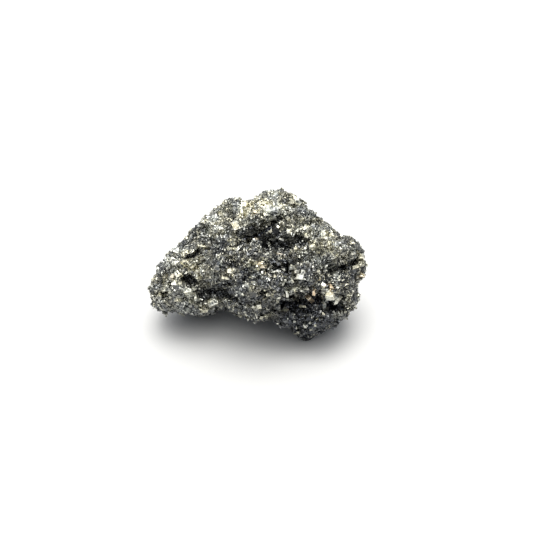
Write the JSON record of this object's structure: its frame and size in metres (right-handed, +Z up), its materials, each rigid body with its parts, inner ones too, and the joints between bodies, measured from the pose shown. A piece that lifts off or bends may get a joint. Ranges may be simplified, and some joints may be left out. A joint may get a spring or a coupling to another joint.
{
  "type": "pyrite specimen",
  "caption": "Natural lump of intergrown pyrite, about 44 mm wide, crusted with small metallic crystals, resting on three low feet.",
  "frame": {"origin": "on the surface that the stone rests on, under the middle of its bounding box", "axes": "+Z up, +X to the right along the stone's longest side as the picture shows it, +Y away from the viewer"},
  "size_m": [0.0438, 0.0296, 0.0255],
  "materials": {
    "pyrite": "metallic crystal faces, pale brass-grey, with dark tarnish in the hollows"
  },
  "bodies": {
    "root": {"pyrite_mass": "pyrite"}
  },
  "joints": []
}
